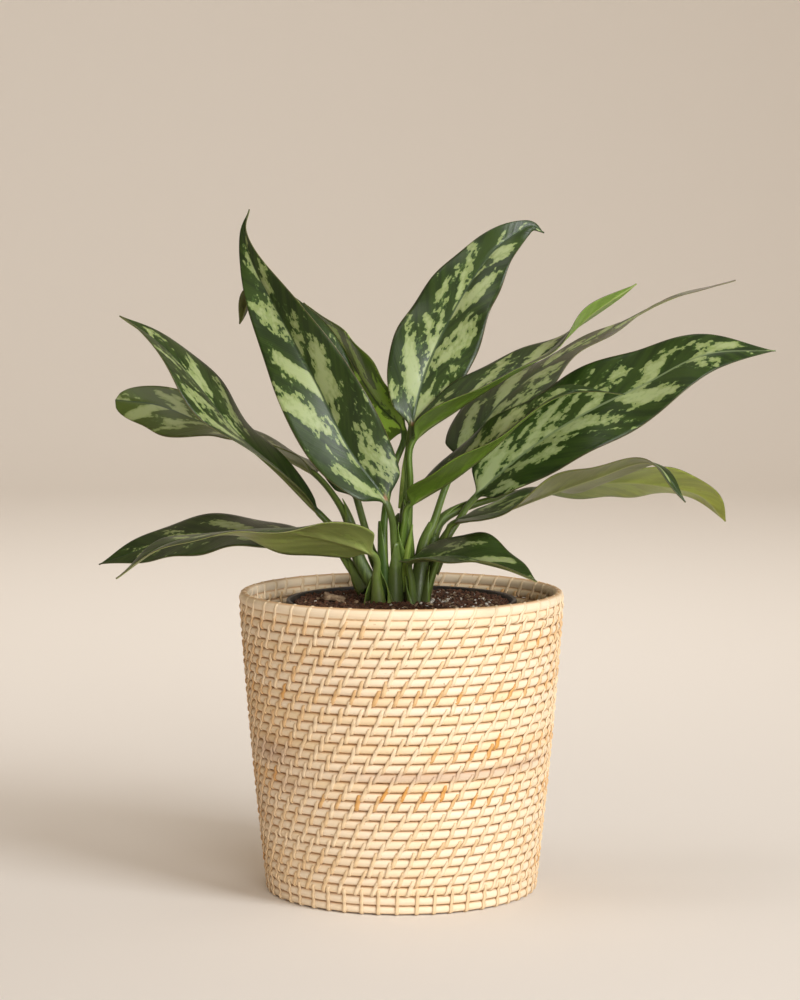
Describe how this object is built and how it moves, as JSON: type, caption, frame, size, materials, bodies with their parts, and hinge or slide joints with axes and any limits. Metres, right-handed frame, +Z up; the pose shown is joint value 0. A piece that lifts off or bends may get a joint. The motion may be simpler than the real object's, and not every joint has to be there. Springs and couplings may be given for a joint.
{
  "type": "potted chinese evergreen",
  "caption": "Chinese evergreen with dark green, pale-flecked pointed leaves on short canes, in a black nursery pot that stands inside a round coiled rattan basket.",
  "frame": {"origin": "middle of the basket's flat underside", "axes": "+Z up, along the basket's axis; -Y the front, as pictured; +X the side that the long-tailed leaves point to"},
  "size_m": [0.4673, 0.2383, 0.4661],
  "materials": {
    "rattan": "satin",
    "pot_plastic": "satin",
    "soil": "matte",
    "cane": "satin",
    "leaf": "satin",
    "young_leaf": "satin"
  },
  "bodies": {
    "root": {"basket": "rattan", "nursery_pot": "pot_plastic", "soil": "soil", "cane_left": "cane", "cane_centre": "cane", "cane_right": "cane", "leaf_upright_left": "leaf", "leaf_upright_behind": "leaf", "leaf_upright_right": "leaf", "leaf_folded_high": "leaf", "leaf_long_tail": "leaf", "leaf_broad_right": "leaf", "leaf_folded_middle": "leaf", "leaf_twisted_low": "leaf", "leaf_arching_low": "leaf", "leaf_small_front": "leaf", "leaf_low_left_rear": "leaf", "leaf_low_left_front": "leaf", "leaf_high_left": "leaf", "leaf_middle_left": "leaf", "leaf_drooping_rear": "leaf", "young_leaf_front": "young_leaf", "young_leaf_spike": "young_leaf"}
  },
  "joints": []
}
